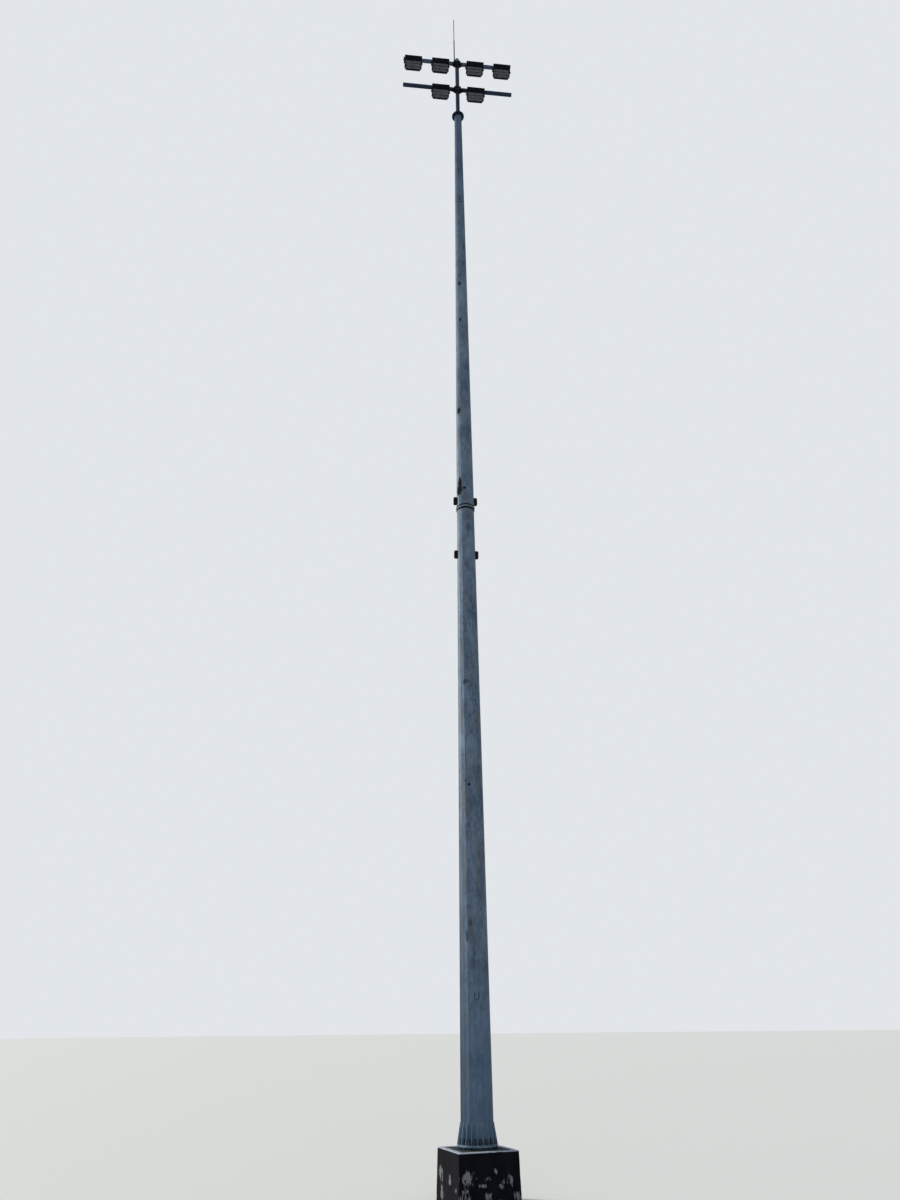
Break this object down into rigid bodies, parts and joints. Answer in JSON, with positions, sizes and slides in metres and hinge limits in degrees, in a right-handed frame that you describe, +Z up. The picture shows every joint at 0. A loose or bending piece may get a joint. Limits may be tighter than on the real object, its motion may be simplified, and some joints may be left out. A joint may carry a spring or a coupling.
{
  "type": "high mast floodlight tower",
  "caption": "Tall tapered polygonal steel mast on a concrete block, slip-jointed at mid-height, with a two-arm headframe of tilting LED floodlights and a lightning rod.",
  "frame": {"origin": "at ground level on the mast's axis, in the middle of the foundation block's underside", "axes": "+Z up the mast, X along the crossarms, the floodlights face -Y"},
  "size_m": [2.5006, 1.0202, 24.0805],
  "materials": {
    "black_painted_concrete": "bitumen paint, worn to bare concrete in streaks",
    "grout": "rough",
    "galvanised_steel": "weathered hot-dip zinc, matt",
    "headframe_steel": "weathered hot-dip zinc, dull",
    "anchor_bolt_steel": "dark, coated",
    "black_painted_steel": "matt black",
    "black_lamp_casting": "black powder coat",
    "lamp_lens": "clear lens over unlit modules"
  },
  "bodies": {
    "mast": {"foundation_block": "black_painted_concrete", "grout_pad": "grout", "anchor_bolts": "anchor_bolt_steel", "base_plate": "galvanised_steel", "base_ribs": "galvanised_steel", "mast_lower_section": "galvanised_steel", "access_cover": "galvanised_steel", "mast_upper_section": "galvanised_steel", "slip_joint_ring": "galvanised_steel", "lower_jacking_lugs": "black_painted_steel", "upper_jacking_lugs": "black_painted_steel", "mast_head_flange": "headframe_steel", "headframe_flange": "headframe_steel", "flange_bolts": "anchor_bolt_steel", "headframe_post": "headframe_steel", "post_cap": "headframe_steel", "upper_crossarm": "headframe_steel", "lower_crossarm": "headframe_steel", "crossarm_gussets": "headframe_steel", "saddle_plates": "headframe_steel", "lightning_rod": "headframe_steel", "rod_clamp": "headframe_steel", "floodlight_1_yoke": "black_painted_steel", "floodlight_2_yoke": "black_painted_steel", "floodlight_3_yoke": "black_painted_steel", "floodlight_4_yoke": "black_painted_steel", "floodlight_5_yoke": "black_painted_steel", "floodlight_6_yoke": "black_painted_steel"},
    "floodlight_1": {"floodlight_1_housing": "black_lamp_casting", "floodlight_1_driver_box": "black_lamp_casting", "floodlight_1_led_modules": "lamp_lens"},
    "floodlight_2": {"floodlight_2_housing": "black_lamp_casting", "floodlight_2_driver_box": "black_lamp_casting", "floodlight_2_led_modules": "lamp_lens"},
    "floodlight_3": {"floodlight_3_housing": "black_lamp_casting", "floodlight_3_driver_box": "black_lamp_casting", "floodlight_3_led_modules": "lamp_lens"},
    "floodlight_4": {"floodlight_4_housing": "black_lamp_casting", "floodlight_4_driver_box": "black_lamp_casting", "floodlight_4_led_modules": "lamp_lens"},
    "floodlight_5": {"floodlight_5_housing": "black_lamp_casting", "floodlight_5_driver_box": "black_lamp_casting", "floodlight_5_led_modules": "lamp_lens"},
    "floodlight_6": {"floodlight_6_housing": "black_lamp_casting", "floodlight_6_driver_box": "black_lamp_casting", "floodlight_6_led_modules": "lamp_lens"}
  },
  "joints": [
    {"name": "floodlight_1_tilt", "type": "hinge", "parent": "mast", "child": "floodlight_1", "pos_m": [-1.03, -0.0788, 22.16548], "axis": [1, 0, 0], "range_deg": [-50, 40]},
    {"name": "floodlight_2_tilt", "type": "hinge", "parent": "mast", "child": "floodlight_2", "pos_m": [-0.4, -0.0788, 22.16548], "axis": [1, 0, 0], "range_deg": [-50, 40]},
    {"name": "floodlight_3_tilt", "type": "hinge", "parent": "mast", "child": "floodlight_3", "pos_m": [0.4, -0.0788, 22.16548], "axis": [1, 0, 0], "range_deg": [-50, 40]},
    {"name": "floodlight_4_tilt", "type": "hinge", "parent": "mast", "child": "floodlight_4", "pos_m": [1.03, -0.0788, 22.16548], "axis": [1, 0, 0], "range_deg": [-50, 40]},
    {"name": "floodlight_5_tilt", "type": "hinge", "parent": "mast", "child": "floodlight_5", "pos_m": [-0.4, -0.0788, 21.25548], "axis": [1, 0, 0], "range_deg": [-50, 40]},
    {"name": "floodlight_6_tilt", "type": "hinge", "parent": "mast", "child": "floodlight_6", "pos_m": [0.4, -0.0788, 21.25548], "axis": [1, 0, 0], "range_deg": [-50, 40]}
  ]
}
